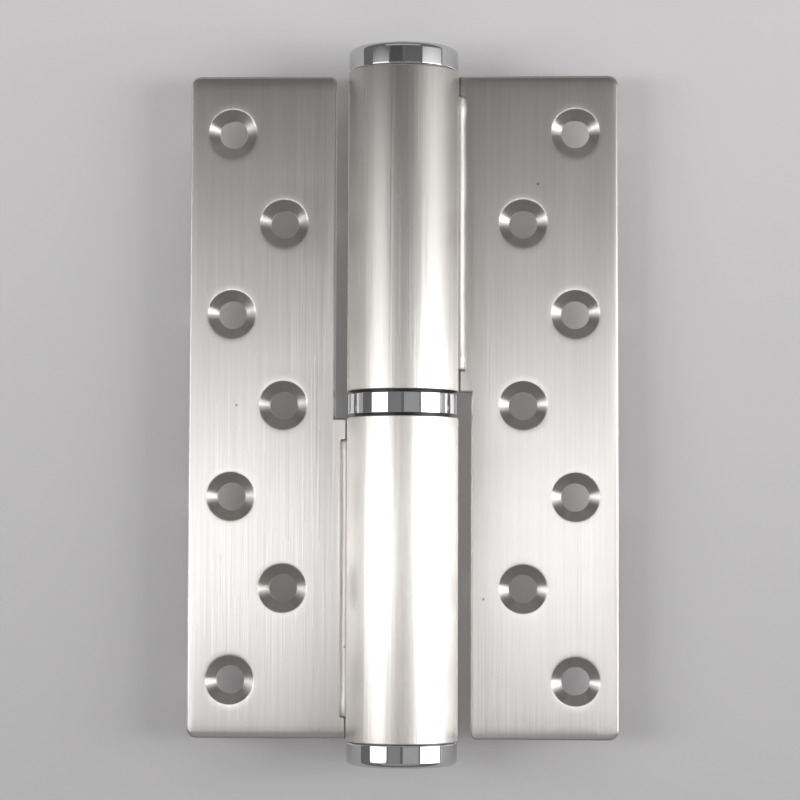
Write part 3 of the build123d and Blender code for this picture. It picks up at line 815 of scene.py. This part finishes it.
for name, node in frame["nodes"].items():
    for place in node.material_slots:
        if place.material.name.split(".")[0] in inner_finishes:
            place.material = inner_finishes[place.material.name.split(".")[0]]
            if name.endswith("_race"):
                place.material = greased_steel

# Floor
# The hinge lies on its back on a pale matt board, which is the floor of the photograph. The board is seen
# from its front only, and reflections pass it right under the hinge, so that it never darkens the back.
floor_gap = 0.1 * mm
bpy.ops.object.select_all(action="DESELECT")
bpy.ops.mesh.primitive_plane_add(
    size=3, location=(0, barrel_radius + floor_gap, 0), rotation=(math.pi / 2, 0, 0)
)
floor = new_piece("floor")
pale_board = bpy.data.materials.new("pale_board")
pale_board.use_nodes = True
board_tree = pale_board.node_tree
board_shader = board_tree.nodes["Principled BSDF"]
board_place = add_node(board_tree, "ShaderNodeTexCoord")
board_height = add_node(board_tree, "ShaderNodeSeparateXYZ")
# Painted light: the board is coloured darker low down and lighter high up, as if more light falls on it from
# above.
board_painted_share = add_node(board_tree, "ShaderNodeMapRange", From_Min=-0.09, From_Max=0.09)
board_painted_light = add_node(board_tree, "ShaderNodeValToRGB")
board_painted_light.color_ramp.elements[0].color = (0.69, 0.68, 0.695, 1)
board_painted_light.color_ramp.elements[1].color = (0.88, 0.865, 0.87, 1)
board_shader.inputs["Roughness"].default_value = 0.9
board_shader.inputs["Specular IOR Level"].default_value = 0.1
board_side = add_node(board_tree, "ShaderNodeNewGeometry")
board_clear = add_node(board_tree, "ShaderNodeBsdfTransparent")
board_mix = add_node(board_tree, "ShaderNodeMixShader")
board_out = board_tree.nodes["Material Output"]
board_rays = add_node(board_tree, "ShaderNodeLightPath")
board_across = add_node(board_tree, "ShaderNodeMath", operation="ABSOLUTE")
board_along = add_node(board_tree, "ShaderNodeMath", operation="ABSOLUTE")
board_in_width = add_node(board_tree, "ShaderNodeMath", operation="LESS_THAN")
board_in_width.inputs[1].default_value = leaf_high.x
board_in_height = add_node(board_tree, "ShaderNodeMath", operation="LESS_THAN")
board_in_height.inputs[1].default_value = leaf_high.z
board_under = add_node(board_tree, "ShaderNodeMath", operation="MULTIPLY")
board_mirrored = add_node(board_tree, "ShaderNodeMath", operation="MULTIPLY")
board_open = add_node(board_tree, "ShaderNodeMath", operation="MAXIMUM")
for source, target in (
    (board_place.outputs["Object"], board_height.inputs["Vector"]),
    (board_height.outputs["Z"], board_painted_share.inputs["Value"]),
    (board_painted_share.outputs["Result"], board_painted_light.inputs["Fac"]),
    (board_painted_light.outputs["Color"], board_shader.inputs["Base Color"]),
    (board_height.outputs["X"], board_across.inputs[0]),
    (board_height.outputs["Z"], board_along.inputs[0]),
    (board_across.outputs["Value"], board_in_width.inputs[0]),
    (board_along.outputs["Value"], board_in_height.inputs[0]),
    (board_in_width.outputs["Value"], board_under.inputs[0]),
    (board_in_height.outputs["Value"], board_under.inputs[1]),
    (board_under.outputs["Value"], board_mirrored.inputs[0]),
    (board_rays.outputs["Is Glossy Ray"], board_mirrored.inputs[1]),
    (board_mirrored.outputs["Value"], board_open.inputs[0]),
    (board_side.outputs["Backfacing"], board_open.inputs[1]),
    (board_open.outputs["Value"], board_mix.inputs["Fac"]),
    (board_shader.outputs["BSDF"], board_mix.inputs[1]),
    (board_clear.outputs["BSDF"], board_mix.inputs[2]),
    (board_mix.outputs["Shader"], board_out.inputs["Surface"]),
):
    board_tree.links.new(source, target)
floor.data.materials.append(pale_board)
floor.visible_diffuse = False
floor.visible_shadow = False

# Light
# A dim studio with two tall soft panels in front, brightest low down, dim ones beside and below the
# camera, one soft light overhead for the board, and panels at the side and behind for the back.
world = bpy.data.worlds.new("studio")
world.use_nodes = True
world.node_tree.nodes["Background"].inputs["Color"].default_value = (0.19, 0.184, 0.178, 1)
bpy.context.scene.world = world
panel_distance = 0.9


def soft_panel(name, azimuth, low, high, width, strengths):
    """Glowing panel that faces the hinge; azimuth 0 is at the camera, strengths run from low to high."""
    turn = math.radians(azimuth)
    place = Vector((math.sin(turn), -math.cos(turn), 0)) * panel_distance
    place.z = (low + high) / 2
    bpy.ops.object.select_all(action="DESELECT")
    bpy.ops.mesh.primitive_plane_add(size=1, location=place, rotation=(math.pi / 2, 0, turn))
    panel = bpy.context.object
    panel.scale = (width, high - low, 1)
    panel.name = name
    glow = bpy.data.materials.new(name)
    glow.use_nodes = True
    tree = glow.node_tree
    tree.nodes.remove(tree.nodes["Principled BSDF"])
    light = add_node(tree, "ShaderNodeEmission")
    place_node = add_node(tree, "ShaderNodeTexCoord")
    height = add_node(tree, "ShaderNodeSeparateXYZ")
    share = add_node(tree, "ShaderNodeMath", operation="ADD")
    share.inputs[1].default_value = 0.5
    ramp = add_node(tree, "ShaderNodeValToRGB").color_ramp
    while len(ramp.elements) < len(strengths):
        ramp.elements.new(0.5)
    for i, value in enumerate(strengths):
        ramp.elements[i].position = i / (len(strengths) - 1)
        ramp.elements[i].color = (value, value, value, 1)
    tree.links.new(place_node.outputs["Object"], height.inputs["Vector"])
    tree.links.new(height.outputs["Y"], share.inputs[0])
    tree.links.new(share.outputs["Value"], tree.nodes["Color Ramp"].inputs["Fac"])
    tree.links.new(tree.nodes["Color Ramp"].outputs["Color"], light.inputs["Strength"])
    tree.links.new(light.outputs["Emission"], tree.nodes["Material Output"].inputs["Surface"])
    panel.data.materials.append(glow)
    panel.visible_camera = False


glow_left = (3.5, 2.6, 7.4, 5.8, 3.2, 2.2, 1.6, 0.9, 0.25)
glow_right = (6.8, 3.3, 6.0, 8.8, 5.5, 2.4, 1.7, 1.35, 0.45)
soft_panel("panel_left", -47.3, -0.1585, 0.26, 0.585, glow_left)
soft_panel("panel_right", 64.3, -0.1817, 0.2833, 0.764, glow_right)
soft_panel("panel_front_left", -13.4, -0.1934, 0.295, 0.405, (0.32, 0.32, 0.28, 0.14, 0.09))
soft_panel("panel_front_right", 21.2, -0.1934, 0.295, 0.526, (0.5, 0.5, 0.45, 0.22, 0.14))
soft_panel("panel_low", 0, -1.1, -0.26, 1.6, (0.35, 0.45))
soft_panel("panel_side", 107, -0.3, 0.5, 0.17, (1.5, 1.5))
soft_panel("panel_back_left", -150, -0.7, 0.6, 0.5, (1.0, 1.0))
soft_panel("panel_back_right", 142, -0.7, 0.6, 0.65, (0.9, 0.9))
bpy.ops.object.light_add(type="AREA", location=(0, -0.6, 0.62))
overhead = bpy.context.object
overhead.name = "overhead"
overhead.data.shape = "RECTANGLE"
overhead.data.size = 1.0
overhead.data.size_y = 0.35
overhead.data.energy = 0.55
overhead.rotation_euler = (Vector((0, 0, 0.02)) - overhead.location).to_track_quat("-Z", "Y").to_euler()
overhead.visible_camera = False

# Camera
# It stands a little low and to the right, as the photograph was taken, and looks back to the middle.
camera_place = Vector((21.2, -571.2, -31.9)) * mm
camera_yaw = math.radians(2.187)
camera_pitch = math.radians(3.304)
camera_roll = math.radians(-0.204)
bpy.ops.object.camera_add(location=camera_place)
camera = bpy.context.object
aim = Matrix.Rotation(camera_yaw, 4, "Z") @ Matrix.Rotation(math.pi / 2 + camera_pitch, 4, "X")
camera.matrix_world = Matrix.Translation(camera_place) @ aim @ Matrix.Rotation(-camera_roll, 4, "Z")
camera.data.sensor_width = 36
camera.data.lens = 114.45
camera.data.clip_start = 0.01
bpy.context.scene.camera = camera
bpy.context.scene.view_settings.view_transform = "Standard"
